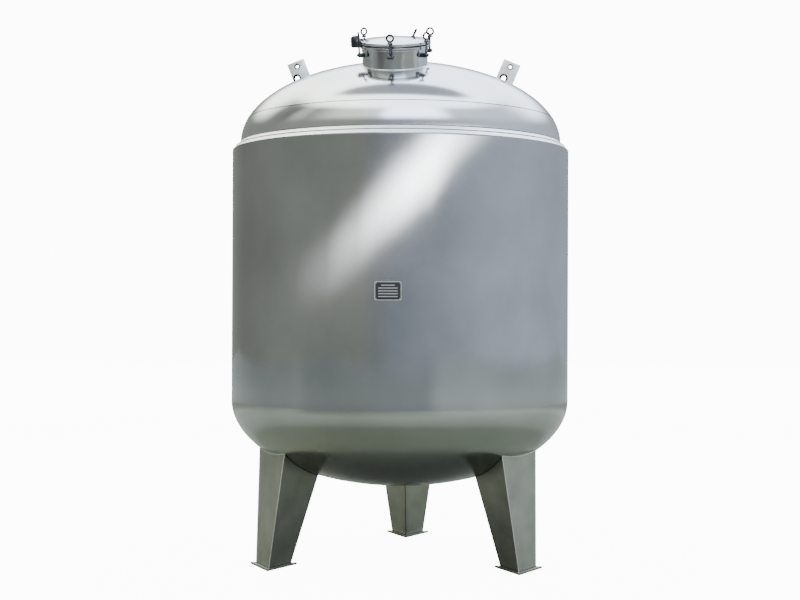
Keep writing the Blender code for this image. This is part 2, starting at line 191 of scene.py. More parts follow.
def makeObject(name, bm):
    mesh = bpy.data.meshes.new(name)
    bm.to_mesh(mesh)
    bm.free()
    item = bpy.data.objects.new(name, mesh)
    bpy.context.scene.collection.objects.link(item)
    return item


def finishPiece(name, bm, finishName="fittingsTurnedSteel", replaced=(),
                body="tank", sharp=35, matrix=Matrix()):
    bmesh.ops.transform(bm, matrix=matrix, verts=bm.verts)
    bmesh.ops.recalc_face_normals(bm, faces=bm.faces)
    item = makeObject(name, bm)
    item.data.shade_smooth()
    item.data.set_sharp_from_angle(angle=radians(sharp))
    item.data.materials.append(finish[finishName])
    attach(item, body)
    if replaced:
        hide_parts(*replaced)
    return item


def bakeModifiers(item):
    graph = bpy.context.evaluated_depsgraph_get()
    made = bpy.data.meshes.new_from_object(item.evaluated_get(graph))
    item.modifiers.clear()
    item.data = made
    made.shade_smooth()
    made.set_sharp_from_angle(angle=radians(35))


def joinBodies(base, others, operation="UNION"):
    for other in others:
        step = base.modifiers.new(operation, "BOOLEAN")
        step.operation = operation
        step.object = other
    bakeModifiers(base)
    for other in others:
        bpy.data.objects.remove(other)


def spareObject(bm, matrix=Matrix()):
    # a body for joinBodies to use up
    bmesh.ops.transform(bm, matrix=matrix, verts=bm.verts)
    bmesh.ops.recalc_face_normals(bm, faces=bm.faces)
    return makeObject("spare", bm)


def spinProfile(profile, steps, closed=False):
    # turns (radius, height) points about Z; an open profile starts and ends on the axis
    bm = bmesh.new()
    spots = [bm.verts.new((r, 0, z)) for r, z in profile]
    count = len(spots)
    edges = [bm.edges.new((spots[i], spots[(i + 1) % count])) for i in range(count if closed else count - 1)]
    bmesh.ops.spin(bm, geom=spots + edges, cent=(0, 0, 0), axis=(0, 0, 1), angle=2 * pi, steps=steps,
                   use_merge=True, use_duplicate=False)
    bmesh.ops.remove_doubles(bm, verts=bm.verts, dist=0.00002)
    return bm


def bowl(radius, depth, base, sign, rows, inner=0.0, outer=None):
    begin = 0.0 if outer is None else acos(outer / radius)
    end = acos(inner / radius)
    turns = [begin + (end - begin) * row / rows for row in range(rows + 1)]
    return [(radius * cos(t), base + sign * depth * sin(t)) for t in turns]


def addTube(bm, path, radius, sides=8, closed=False):
    # sweeps a round section along a path of points
    rings = []
    count = len(path)
    for index, point in enumerate(path):
        ahead = path[(index + 1) % count] if closed else path[min(index + 1, count - 1)]
        behind = path[index - 1] if closed or index else path[0]
        turn = (ahead - behind).to_track_quat("Z", "X").to_matrix().to_4x4()
        made = bmesh.ops.create_circle(bm, radius=radius, segments=sides,
                                       matrix=Matrix.Translation(point) @ turn)
        rings.append(made["verts"])
    pairs = list(zip(rings, rings[1:])) + ([(rings[-1], rings[0])] if closed else [])
    for a, b in pairs:
        edges = {e for ring in (a, b) for v in ring for e in v.link_edges
                 if e.verts[0] in ring and e.verts[1] in ring}
        bmesh.ops.bridge_loops(bm, edges=list(edges))
    if not closed:
        for ring in (rings[0], rings[-1]):
            bmesh.ops.contextual_create(bm, geom=ring)


def addRod(bm, radius, start, end, sides=24, matrix=Matrix()):
    way = Vector(end) - Vector(start)
    turn = way.to_track_quat("Z", "Y").to_matrix().to_4x4()
    place = matrix @ Matrix.Translation((Vector(start) + Vector(end)) / 2) @ turn
    bmesh.ops.create_cone(bm, cap_ends=True, segments=sides, radius1=radius, radius2=radius,
                          depth=way.length, matrix=place)


# the camera stands a little right of the tank's front, level with the middle of the shell
view = {"turn": 3.65, "distance": 8.849, "height": 1.558, "rise": 0.32, "roll": 0.22, "lens": 63.3,
        "sensor": 36}


def placeCamera():
    turn, rise, roll = (radians(view[key]) for key in ("turn", "rise", "roll"))
    right = Vector((cos(turn), sin(turn), 0))
    ahead = Vector((-sin(turn) * cos(rise), cos(turn) * cos(rise), sin(rise)))
    up = right.cross(ahead)
    leanRight = right * cos(roll) + up * sin(roll)
    leanUp = up * cos(roll) - right * sin(roll)
    data = bpy.data.cameras.new("camera")
    data.lens = view["lens"]
    data.sensor_width = view["sensor"]
    camera = bpy.data.objects.new("camera", data)
    basis = Matrix((leanRight, leanUp, -ahead)).transposed().to_4x4()
    spot = Vector((sin(turn) * view["distance"], -cos(turn) * view["distance"], view["height"]))
    camera.matrix_world = Matrix.Translation(spot) @ basis
    bpy.context.scene.collection.objects.link(camera)
    bpy.context.scene.camera = camera


studio = {
    "backdrop": 12.0, "floorGlow": 12.0, "floorSize": 30, "floorRough": 0.8, "high": 6.5, "beam": 0.12,
    # how high the windows and the roof begin and how far the beam spreads, each from none of it to all of it
    "windowsRise": (0.29, 0.54), "roofRise": (0.68, 0.84), "beamRise": (0.5, 1.0), "beamPlace": (0.02, 0.075),
    "beamNarrow": (2.0, 3.9), "tintRise": (-1.0, 1.0), "tint": [(0.2, "e2e5da"), (0.5, "d3dbe9")],
    # brightness round the hall near eye level; angles in degrees, 0 in front of the tank and 90 at its right
    "wall": [(-180, 0.45), (-131, 0.4), (-69, 0.53), (-31, 0.54), (-13, 0.5), (-3, 0.6), (4, 0.63),
             (25, 0.84), (45, 1.05), (60, 1.2), (95, 1.3), (148, 0.95), (180, 0.5)],
    # brightness round the hall at window height
    "windows": [(-180, 6.2), (-152, 6.0), (-135, 5.6), (-120, 2.6), (-110, 0.5), (-92, 0.3), (-84, 1.1),
                (-76, 1.1), (-70, 0.6), (-64, 0.9), (-47, 1.9), (-14, 2.2), (-4, 7.5), (30, 7.5), (44, 1.9),
                (90, 1.7), (104, 2.0), (118, 3.4), (135, 5.6), (152, 6.0), (180, 6.2)],
    # the ground's colour with growing distance from the tank, in metres; the darker ground within about 0.9 m
    # is a painted shadow of the tank
    "ground": [(0.8, "4e514a"), (0.95, "6a6e5f"), (1.25, "646859"), (1.6, "606356"), (1.9, "5a5d50"),
               (2.25, "74766e"), (3.0, "7a7c74"), (3.7, "82847c"), (4.4, "787a71"), (5.2, "8c8f86"),
               (6.5, "91938a"), (8.3, "5c5a50"), (12.0, "595750"), (16.0, "7e7f78"), (24.0, "696c67")],
    # the same ground by direction, further out: darker at the left and in front, paler at the right
    "paving": [(-180, 0.8), (-100, 0.75), (-75, 0.7), (-66, 0.78), (-56, 0.62), (-30, 0.65), (20, 0.6),
               (30, 1.15), (60, 1.3), (110, 1.25), (150, 1.0), (180, 0.8)],
    "pavingRise": (4.0, 7.0),
    # a dark strip of ground in front, which the manway neck mirrors: its soft edges in metres and in degrees
    "strip": {"near": (4.6, 5.4), "far": (11.0, 12.5), "left": (-66, -50), "right": (-20, 60), "depth": 0.55},
    # a soft banner round the front, mirrored as one slanting band: place, half height and brightness
    "banner": [(-8.66, -1.41, 1.74, 0.35, 0.0), (-8.06, -3.7, 1.86, 0.42, 0.006),
               (-6.09, -6.58, 2.03, 0.47, 0.055), (-3.43, -8.35, 2.38, 0.5, 0.22),
               (-0.95, -9.0, 2.69, 0.48, 0.64), (1.58, -8.91, 2.94, 0.46, 1.2),
               (3.54, -8.31, 3.18, 0.52, 1.1), (5.33, -7.26, 3.5, 0.47, 0.75),
               (6.88, -5.75, 3.66, 0.38, 0.38), (8.06, -3.79, 3.77, 0.3, 0.08),
               (8.74, -1.12, 3.8, 0.25, 0.0)],
    "bannerRows": 8, "bannerSteps": 4, "bannerPower": 13.0,
}


def lapShare(angle):
    # a direction in degrees as a share of the whole lap, 0.5 in front
    return angle / 360 + 0.5


def findLap(tree, parts):
    # the direction of each point round the tank, as a share of the whole lap
    ahead = addNode(tree, "Math", {0: parts["Y"], 1: -1.0}, operation="MULTIPLY").outputs["Value"]
    turn = addNode(tree, "Math", {0: parts["X"], 1: ahead}, operation="ARCTAN2").outputs["Value"]
    share = addNode(tree, "Math", {0: turn, 1: 0.5 / pi, 2: 0.5}, operation="MULTIPLY_ADD")
    return share.outputs["Value"]


def lapLevels(tree, lap, names):
    # the named brightnesses by direction; a ramp holds only 0 to 1, so each is divided by its highest
    levels = []
    for name in names:
        top = max(value for angle, value in studio[name])
        ramp = addNode(tree, "ValToRGB", {"Fac": lap})
        fillRamp(ramp, [(lapShare(angle), value / top) for angle, value in studio[name]])
        level = addNode(tree, "Math", {0: ramp.outputs["Color"], 1: top}, operation="MULTIPLY")
        levels.append(level.outputs["Value"])
    return levels


def addRises(tree, edges):
    # soft steps: each goes from bottom to top as its source passes from low to high
    rises = []
    for source, (low, high), bottom, top in edges:
        inputs = {"Value": source, "From Min": low, "From Max": high, "To Min": bottom, "To Max": top}
        rises.append(addNode(tree, "MapRange", inputs, interpolation_type="SMOOTHSTEP").outputs["Result"])
    return rises


def buildSky():
    # the backdrop is white; what the steel mirrors is a wide hall, dim near eye level, with bright windows in
    # front and behind, a bright roof and one dark beam overhead
    world = bpy.data.worlds.new("studio")
    bpy.context.scene.world = world
    world.use_nodes = True
    tree = world.node_tree
    back = tree.nodes["Background"]
    way = addNode(tree, "TexCoord").outputs["Generated"]
    parts = addNode(tree, "SeparateXYZ", {"Vector": way}).outputs
    wall, windows = lapLevels(tree, findLap(tree, parts), ("wall", "windows"))
    # the beam is an oval in the sky: the squared distance from its middle, its sides drawn in
    (x, y), (narrowX, narrowY) = studio["beamPlace"], studio["beamNarrow"]
    place = addNode(tree, "Mapping", {"Vector": way, "Location": (-x * narrowX, -y * narrowY, 0.0),
                                      "Scale": (narrowX, narrowY, 0.0)}).outputs["Vector"]
    away = addNode(tree, "VectorMath", {0: place, 1: place}, operation="DOT_PRODUCT").outputs["Value"]
    windowsIn, roofIn, beamOut, rightward = addRises(tree, [
        (parts["Z"], studio["windowsRise"], 0.0, 1.0), (parts["Z"], studio["roofRise"], 0.0, 1.0),
        (away, studio["beamRise"], studio["beam"], 1.0), (parts["X"], studio["tintRise"], 0.0, 1.0)])
    lower = addNode(tree, "Mix", {"Factor": windowsIn, "A": wall, "B": windows}).outputs["Result"]
    whole = addNode(tree, "Mix", {"Factor": roofIn, "A": lower, "B": studio["high"]}).outputs["Result"]
    seen = addNode(tree, "Math", {0: whole, 1: beamOut}, operation="MULTIPLY")
    tint = addNode(tree, "ValToRGB", {"Fac": rightward})
    fillRamp(tint, studio["tint"])
    tree.links.new(tint.outputs["Color"], back.inputs["Color"])
    tree.links.new(seen.outputs["Value"], back.inputs["Strength"])
    pale = addNode(tree, "Background", {"Color": (1, 1, 1, 1), "Strength": studio["backdrop"]})
    ray = addNode(tree, "LightPath").outputs["Is Camera Ray"]
    either = addNode(tree, "MixShader", {0: ray, 1: back.outputs[0], 2: pale.outputs[0]})
    tree.links.new(either.outputs[0], tree.nodes["World Output"].inputs["Surface"])


def makeGround():
    # painted ground; the camera sees it as pale as the backdrop, and the steel mirrors it as it is
    material, tree, shader, place = startMaterial("studioFloor")
    shader.inputs["Roughness"].default_value = studio["floorRough"]
    lap = findLap(tree, addNode(tree, "SeparateXYZ", {"Vector": place}).outputs)
    paving, = lapLevels(tree, lap, ["paving"])
    away = addNode(tree, "VectorMath", {0: place}, operation="LENGTH").outputs["Value"]
    size = studio["floorSize"]
    share = addNode(tree, "Math", {0: away, 1: size}, operation="DIVIDE").outputs["Value"]
    tone = addNode(tree, "ValToRGB", {"Fac": share}).outputs["Color"]
    fillRamp(tone.node, [(metres / size, colour) for metres, colour in studio["ground"]])
    strip = studio["strip"]
    left, right = ([lapShare(angle) for angle in strip[side]] for side in ("left", "right"))
    far, *edges = addRises(tree, [
        (away, studio["pavingRise"], 0.0, 1.0), (away, strip["near"], 0.0, 1.0),
        (away, strip["far"], 1.0, 0.0), (lap, left, 0.0, 1.0), (lap, right, 1.0, 0.0)])
    cover = strip["depth"]
    for edge in edges:
        cover = addNode(tree, "Math", {0: edge, 1: cover}, operation="MULTIPLY").outputs["Value"]
    clear = addNode(tree, "Math", {0: 1.0, 1: cover}, operation="SUBTRACT").outputs["Value"]
    level = addNode(tree, "Mix", {"Factor": far, "A": 1.0, "B": paving}).outputs["Result"]
    level = addNode(tree, "Math", {0: level, 1: clear}, operation="MULTIPLY").outputs["Value"]
    paved = addNode(tree, "VectorMath", {0: tone, "Scale": level}, operation="SCALE")
    tree.links.new(paved.outputs["Vector"], shader.inputs["Base Color"])
    shader.inputs["Emission Color"].default_value = (1, 1, 1, 1)
    ray = addNode(tree, "LightPath").outputs["Is Camera Ray"]
    glow = addNode(tree, "Math", {0: ray, 1: studio["floorGlow"]}, operation="MULTIPLY")
    tree.links.new(glow.outputs["Value"], shader.inputs["Emission Strength"])
    return material


def buildBanner():
    # a curved sheet of light that fades to nothing at its edges; the camera itself doesn't see it
    stops = studio["banner"]
    rows, steps = studio["bannerRows"], studio["bannerSteps"]
    bm = bmesh.new()
    glow = bm.verts.layers.float.new("glow")
    columns = []
    for first, second in zip(stops, stops[1:]):
        for step in range(steps + (second is stops[-1])):
            share = step / steps
            px, py, pz, half, bright = (a + (b - a) * share for a, b in zip(first, second))
            column = []
            for row in range(rows + 1):
                level = row / rows * 2 - 1
                vert = bm.verts.new((px, py, pz + half * level))
                vert[glow] = bright * cos(level * pi / 2) ** 2
                column.append(vert)
            columns.append(column)
    for a, b in zip(columns, columns[1:]):
        for row in range(rows):
            bm.faces.new((a[row], b[row], b[row + 1], a[row + 1]))
    material = bpy.data.materials.new("bannerLight")
    material.use_nodes = True
    tree = material.node_tree
    tree.nodes.remove(tree.nodes["Principled BSDF"])
    bright = addNode(tree, "Attribute", attribute_name="glow").outputs["Fac"]
    power = addNode(tree, "Math", {0: bright, 1: studio["bannerPower"]}, operation="MULTIPLY")
    light = addNode(tree, "Emission", {"Strength": power.outputs["Value"]}).outputs["Emission"]
    clear = addNode(tree, "BsdfTransparent").outputs["BSDF"]
    both = addNode(tree, "AddShader", {0: light, 1: clear})
    tree.links.new(both.outputs["Shader"], tree.nodes["Material Output"].inputs["Surface"])
    item = makeObject("banner", bm)
    item.data.materials.append(material)
    item.visible_camera = False


def buildStudio():
    buildSky()
    buildBanner()
    bm = bmesh.new()
    bmesh.ops.create_grid(bm, x_segments=1, y_segments=1, size=studio["floorSize"])
    floor = makeObject("floor", bm)
    floor.data.materials.append(makeGround())


placeCamera()
buildStudio()
print("camera and studio placed")


def dishedSheet(radius, depth, wall, base, sign, rows, steps, inner=0.0, outer=None):
    # a dished end of sheet: whole, only out to an outer radius, or only the ring beyond an inner one
    closed = inner > 0
    outside = bowl(radius, depth, base, sign, rows, inner, outer)
    inner, outer = max(inner - wall, 0.0), outer and outer - wall
    within = bowl(radius - wall, depth - wall, base, sign, rows, inner, outer)
    return spinProfile(outside[::-1] + within, steps, closed)


jacket = {"steps": 192, "rows": 32, "lipRadius": 0.0016, "coneTop": 2.582, "coneBreak": (1.027, 2.5575),
          "coneEdge": 0.004, "gap": 0.0002}


def buildJacket():
    radius, wall, base, top = (tank[key] for key in ("jacketRadius", "jacketWall", "dishBase", "jacketTop"))
    dish = dishedSheet(radius, tank["dishDepth"], wall, base, -1, jacket["rows"], jacket["steps"])
    finishPiece("dishSkin", dish, "dishSpunSteel", ["jacket_bottom_head"])
    soft = jacket["lipRadius"]
    profile = [(radius - wall, base), (radius, base), (radius, top - soft * 4), (radius, top - soft),
               (radius - soft * 0.3, top - soft * 0.3), (radius - soft, top), (radius - wall, top)]
    finishPiece("jacketSkin", spinProfile(profile, jacket["steps"], closed=True), "jacketMillFinishSteel",
                ["jacket_shell_front", "jacket_shell_back"])
    # the cone is two sloped strips, which meet at the break
    (middle, height), coneTop = jacket["coneBreak"], jacket["coneTop"]
    edge, foot = tank["vesselRadius"] + jacket["gap"] * 2, top + jacket["gap"]
    profile = [(radius - soft, foot), (middle, height), (edge, coneTop), (edge, coneTop - jacket["coneEdge"]),
               (middle - 0.002, height - 0.0035), (radius - wall - 0.001, foot)]
    finishPiece("coneSkin", spinProfile(profile, jacket["steps"], closed=True), "coneSpunSteel",
                ["jacket_top_cone"], sharp=18)


# the wall and the floor inside the jacket show only through the open manway, so they have fewer faces
vessel = {"steps": 192, "rows": 36, "bandRows": 10, "insideSteps": 96, "insideRows": 20}


def headSlope(reach):
    # the head's height and slope at a distance from the tank's axis
    height = tank["vesselTop"] + tank["headDepth"] * sqrt(1 - reach ** 2)
    return height, atan2(tank["headDepth"] ** 2 * reach / (height - tank["vesselTop"]), 1.0)


def manwayFrame():
    height, slope = headSlope(manway["reach"])
    turn = Matrix.Rotation(radians(manway["turn"]), 4, "Z")
    return Matrix.Translation((0, -manway["reach"], height)) @ Matrix.Rotation(slope, 4, "X") @ turn


def buildVessel(place):
    radius, wall, depth = (tank[key] for key in ("vesselRadius", "vesselWall", "headDepth"))
    seam, top, base = (tank[key] for key in ("seamRadius", "vesselTop", "dishBase"))
    band = dishedSheet(radius, depth, wall, top, 1, vessel["bandRows"], vessel["steps"], inner=seam)
    crown = dishedSheet(radius, depth, wall, top, 1, vessel["rows"], vessel["steps"], outer=seam)
    inside = [(radius - wall, base), (radius, base), (radius, top), (radius - wall, top)]
    inside = spinProfile(inside, vessel["insideSteps"], closed=True)
    floor = dishedSheet(radius, depth, wall, base, -1, vessel["insideRows"], vessel["insideSteps"])
    made = [finishPiece(name, bm, "headPolishedSteel", replaced) for name, bm, replaced in (
        ("headBand", band, ["vessel_top_band"]), ("headCrown", crown, ["vessel_top_crown"]),
        ("vesselSkin", inside, ["vessel_shell_front", "vessel_shell_back"]),
        ("vesselFloor", floor, ["vessel_bottom_head"]))]
    bore = bmesh.new()
    addRod(bore, manway["neck"], (0, 0, -0.3), (0, 0, 0.3), 96, place)
    joinBodies(made[1], [spareObject(bore)], "DIFFERENCE")


manway = {
    "reach": 0.54, "turn": -3, "neck": 0.193, "wall": 0.005, "neckFoot": -0.03, "neckTop": 0.109,
    "rim": 0.2046, "rimBottom": 0.092, "sealTop": 0.1123, "sealLip": 0.0062, "notch": 0.0066,
    "lidBottom": 0.1126, "lidTop": 0.135, "lidDome": 0.162, "lidRise": 0.015, "lidSheet": 0.006, "steps": 128,
    "domeRows": 12, "insideRows": 10, "boltCircle": 0.226, "pivotHeight": 0.06,
    "boltTurns": [0, 60, 120, 240, 300],
}


def roundedLoop(points, radius, segments=3):
    # rounds each corner of a closed profile with a short arc
    made = []
    count = len(points)
    for index in range(count):
        before, corner, after = (Vector(points[(index + k) % count]) for k in (-1, 0, 1))
        toBefore = (before - corner).normalized() * min(radius, (before - corner).length * 0.3)
        toAfter = (after - corner).normalized() * min(radius, (after - corner).length * 0.3)
        a, b = corner + toBefore, corner + toAfter
        # one more point on each straight side keeps the flat part's shading flat
        made.append(tuple(corner + toBefore * 1.6))
        for step in range(segments + 1):
            t = step / segments
            made.append(tuple(a * (1 - t) ** 2 + corner * 2 * t * (1 - t) + b * t ** 2))
        made.append(tuple(corner + toAfter * 1.6))
    return made


def buildManway(place):
    neck, neckTop, rim, rimBottom = (manway[key] for key in ("neck", "neckTop", "rim", "rimBottom"))
    low, notch, foot, sealTop = (manway[key] for key in ("lidBottom", "notch", "neckFoot", "sealTop"))
    bore, steps = neck - manway["wall"], manway["steps"]
    # the seal's lip stands up into a notch round the lid's lower edge: black rubber, widened as painted shade
    # for the gap under the lid
    lipTop, lipIn, sealOut, sealIn = low + notch - 0.0006, rim - manway["sealLip"], rim - 0.001, bore + 0.002
    rings = [
        ("manwayNeck", "manwayPolishedSteel", "polished_steel", "manway_neck", 0.001,
         [(bore, foot), (neck, foot), (neck, neckTop), (bore, neckTop)]),
        ("manwayRim", "manwayPolishedSteel", "polished_steel", "manway_rim", 0.002,
         [(neck, rimBottom), (rim, rimBottom), (rim, neckTop), (neck, neckTop)]),
        ("manwaySeal", "manwaySealRubberAndShade", "gasket", "manway_gasket", 0.001,
         [(sealIn, neckTop), (sealOut, neckTop), (sealOut, lipTop), (lipIn, lipTop), (lipIn, sealTop),
          (sealIn, sealTop)]),
    ]
    for name, finishName, slotName, replaced, soft, corners in rings:
        finishPiece(name, spinProfile(roundedLoop(corners, soft), steps, closed=True), finishName,
                    [replaced], matrix=place)
    dome, top, rise, thick = (manway[key] for key in ("lidDome", "lidTop", "lidRise", "lidSheet"))
    rows, inside = manway["domeRows"], manway["insideRows"]
    crown = [(dome * k / rows, top + rise * (1 - (k / rows) ** 2)) for k in range(rows)]
    # a small fillet where the dome meets the flat flange
    fillet = [(dome - 0.002, top + 0.0006), (dome + 0.001, top + 0.0001), (dome + 0.004, top)]
    edge = [(rim - 0.003, top), (rim - 0.0008, top - 0.0008), (rim, top - 0.003), (rim, low + notch + 0.0012),
            (rim - 0.0008, low + notch), (rim - 0.0066, low + notch), (rim - 0.0068, low + 0.0006),
            (rim - 0.0074, low), (dome - 0.004, low)]
    below = [((dome - 0.004) * k / inside, top + rise * (1 - (k / inside) ** 2) - thick)
             for k in reversed(range(inside))]
    finishPiece("manwayLid", spinProfile(crown + fillet + edge + below, steps), "lidPolishedSteel",
                ["manway_lid"], "lid", sharp=30, matrix=place)


def headLine(place, radius):
    # where a ring about the manway's axis meets the head
    found = []
    for turn in (2 * pi * k / 96 for k in range(96)):
        low, high = -0.12, 0.12
        for step in range(30):
            middle = (low + high) / 2
            point = place @ Vector((radius * cos(turn), radius * sin(turn), middle))
            out = (point.x ** 2 + point.y ** 2) + ((point.z - tank["vesselTop"]) / tank["headDepth"]) ** 2 - 1
            low, high = (low, middle) if out > 0 else (middle, high)
        found.append(place @ Vector((radius * cos(turn), radius * sin(turn), (low + high) / 2)))
    return found


def pinFrame(place, angle, radius, height):
    # local X points out from the manway, local Y along its rim
    return place @ Matrix.Rotation(radians(angle - 90), 4, "Z") @ Matrix.Translation((radius, 0, height))


swingBolt = {
    "lean": 1.5, "rod": 0.006, "foot": 0.009, "top": 0.087, "threadFoot": 0.026, "threadPitch": 0.00175,
    "threadDepth": 0.0007, "eyeBore": 0.0056, "eyeRound": 0.0125, "eyeHalf": 0.0085, "eyeSoft": 0.0015,
    "nutSeat": 0.0785, "nutTop": 0.0945, "nutBore": 0.0063, "collar": 0.0155, "ringCentre": 0.1115,
    "ring": 0.0193, "ringThick": 0.006, "ringTurns": [0, -20, 63, -17, -21], "pin": 0.005, "pinHead": 0.0078,
    "pinHeadEnds": (0.0181, 0.0206), "splitPin": 0.001,
    "splitPinEnds": [(-0.007, 0.0195, 0), (0.011, 0.0195, -0.004)],
}


def buildSwingBolt(place, number, angle):
    body = f"bolt_{number}"
    pivot = pinFrame(place, angle, manway["boltCircle"], manway["pivotHeight"])
    leaning = pivot @ Matrix.Rotation(radians(swingBolt["lean"]), 4, "Y")
    flat = Matrix.Rotation(radians(90), 4, "X")
    # the rod, its thread and the eye that turns on the pin
    rod, foot, top, height = (swingBolt[key] for key in ("rod", "foot", "top", "threadFoot"))
    pitch, bore, outer, half = (swingBolt[key] for key in ("threadPitch", "eyeBore", "eyeRound", "eyeHalf"))
    profile = [(0.0, foot), (rod, foot)]
    while height < top - 0.002:
        profile += [(rod, height), (rod - swingBolt["threadDepth"], height + pitch / 2)]
        height += pitch
    profile += [(rod, top - 0.001), (rod - 0.001, top), (0.0, top)]
    bolt = finishPiece(f"swingBolt{number}", spinProfile(profile, 24), replaced=[f"swing_bolt_{number}"],
                       body=body, matrix=leaning)
    corners = [(bore, -half), (outer, -half), (outer, half), (bore, half)]
    eye = spinProfile(roundedLoop(corners, swingBolt["eyeSoft"]), 32, closed=True)
    joinBodies(bolt, [spareObject(eye, leaning @ flat)])
    # the nut's collar, its neck and the ring that turns it
    collar, seat, nutTop, bore = (swingBolt[key] for key in ("collar", "nutSeat", "nutTop", "nutBore"))
    profile = [(0.0, nutTop), (0.0068, nutTop), (0.0078, nutTop - 0.003), (0.0105, seat + 0.0095),
               (collar - 0.0012, seat + 0.006), (collar, seat + 0.0045), (collar, seat + 0.001),
               (collar - 0.001, seat), (bore, seat), (bore, top + 0.0003), (0.0, top + 0.0003)]
    nut = finishPiece(f"eyeNut{number}", spinProfile(profile, 40), replaced=[f"eye_nut_{number}"], body=body,
                      matrix=leaning)
    ring = bmesh.new()
    start = bmesh.ops.create_circle(ring, radius=swingBolt["ringThick"], segments=16,
                                    matrix=Matrix.Translation((0, 0, swingBolt["ring"])) @ flat)
    bmesh.ops.spin(ring, geom=start["verts"] + list(ring.edges), cent=(0, 0, 0), axis=(1, 0, 0), angle=2 * pi,
                   steps=48, use_merge=True, use_duplicate=False)
    bmesh.ops.remove_doubles(ring, verts=ring.verts, dist=0.00002)
    turned = Matrix.Rotation(radians(swingBolt["ringTurns"][number - 1]), 4, "Z")
    lifted = Matrix.Translation((0, 0, swingBolt["ringCentre"]))
    joinBodies(nut, [spareObject(ring, leaning @ turned @ lifted)])
    # pin heads and a split pin's legs outside the ears
    bm = bmesh.new()
    begin, end = swingBolt["pinHeadEnds"]
    for side in (-1, 1):
        addRod(bm, swingBolt["pinHead"], (0, side * begin, 0), (0, side * end, 0), 24, pivot)
    addRod(bm, swingBolt["splitPin"], *swingBolt["splitPinEnds"], 8, pivot)
    finishPiece(f"pinHeads{number}", bm)


def extrudeFace(bm, outline, begin, end):
    # pulls a flat outline in local X and Z into a solid between two depths
    face = bm.faces.new([bm.verts.new((x, begin, z)) for x, z in outline])
    grown = bmesh.ops.extrude_face_region(bm, geom=[face])["geom"]
    moved = [v for v in grown if isinstance(v, bmesh.types.BMVert)]
    bmesh.ops.translate(bm, vec=(0, end - begin, 0), verts=moved)


def softBevel(bm, edges, width, segments=2):
    bmesh.ops.bevel(bm, geom=edges, offset=width, offset_type="OFFSET", segments=segments, profile=0.5,
                    affect="EDGES", material=-1)


def earPair(outline, middle, thick, soft):
    # two flat plates with a gap between them and softened edges
    bm = bmesh.new()
    for side in (-1, 1):
        extrudeFace(bm, outline, side * middle - thick / 2, side * middle + thick / 2)
    softBevel(bm, list(bm.edges), soft)
    return bm


bracket = {"round": 0.0115, "ear": 0.0125, "earThick": 0.006, "earSoft": 0.0008, "pinReach": 0.018,
           "pad": 0.005, "padGap": 0.0003, "padTurn": 6.5, "padTall": 0.026, "padSteps": 8, "padSoft": 0.0012}


def buildBracket(place, number, angle):
    # two round-nosed ears on a narrow curved pad, with the bolt's pin through them
    pivot = pinFrame(place, angle, manway["boltCircle"], manway["pivotHeight"])
    near = manway["neck"] + 0.003 - manway["boltCircle"]
    nose = bracket["round"]
    outline = [(nose * sin(radians(a)), nose * cos(radians(a))) for a in range(0, 181, 18)]
    outline += [(near, -nose), (near, nose)]
    bm = earPair(outline, bracket["ear"], bracket["earThick"], bracket["earSoft"])
    bmesh.ops.transform(bm, matrix=pivot, verts=bm.verts)
    addRod(bm, swingBolt["pin"], (0, -bracket["pinReach"], 0), (0, bracket["pinReach"], 0), 24, pivot)
    finishPiece(f"boltBracket{number}", bm, replaced=[f"bolt_bracket_{number}"])
    bm = bmesh.new()
    rows = []
    inner, outer = manway["neck"] + bracket["padGap"], manway["neck"] + bracket["pad"]
    middle, half, steps = manway["pivotHeight"], bracket["padTall"] / 2, bracket["padSteps"]
    section = [(inner, middle - half), (outer, middle - half), (outer, middle + half), (inner, middle + half)]
    for step in range(steps + 1):
        turn = radians(angle - 90 + bracket["padTurn"] * (2 * step / steps - 1))
        rows.append([bm.verts.new((r * cos(turn), r * sin(turn), h)) for r, h in section])
    for a, b in zip(rows, rows[1:]):
        for k in range(4):
            bm.faces.new((a[k], a[(k + 1) % 4], b[(k + 1) % 4], b[k]))
    bm.faces.new(rows[0])
    bm.faces.new(list(reversed(rows[-1])))
    # only the edges round the pad's outer face are softened
    outside = [e for e in bm.edges if all(v.co.xy.length > outer - 0.0005 for v in e.verts)
               and e.is_manifold and e.calc_face_angle() > 1]
    softBevel(bm, outside, bracket["padSoft"])
    finishPiece(f"boltPad{number}", bm, "manwayPolishedSteel", matrix=place)


# an ear's outline, in metres from the hinge's pin; its toe and its last corner lie at the rim
hinge = {
    "reach": 0.245, "height": 0.146, "ear": 0.0285, "earThick": 0.006, "earSoft": 0.001, "foot": 0.004,
    "outline": [(0.013, 0.006), (0.0065, 0.0125), (-0.027, 0.0125), (-0.0345, 0.005), (-0.036, -0.034)],
    "top": -0.0375, "bridge": (0.012, 0.051, 0.012), "bridgeReach": 0.007, "bridgeHeight": -0.047,
}


def buildHinge(place):
    # two square-cut ears and a bridge behind the lid's edge
    axis = pinFrame(place, -90, hinge["reach"], hinge["height"])
    near = manway["rim"] + 0.0008 - hinge["reach"]
    low = manway["rimBottom"] + 0.001 - hinge["height"]
    toe = [(near, low), (hinge["foot"], low), (hinge["foot"] + 0.008, low + 0.009)]
    outline = toe + hinge["outline"] + [(near, hinge["top"])]
    bm = earPair(outline, hinge["ear"], hinge["earThick"], hinge["earSoft"])
    size = Matrix.Diagonal((*hinge["bridge"], 1))
    spot = Matrix.Translation((near + hinge["bridgeReach"], 0, hinge["bridgeHeight"]))
    bmesh.ops.create_cube(bm, size=1, matrix=spot @ size)
    finishPiece("hingeBracket", bm, replaced=["hinge_bracket"], matrix=axis)


lidHandle = {"angle": 150, "reach": 0.183, "lean": 25, "length": 0.052, "thick": 0.0072, "foot": 0.012,
             "footTall": 0.005, "footSoft": 0.001, "gap": 0.0003}


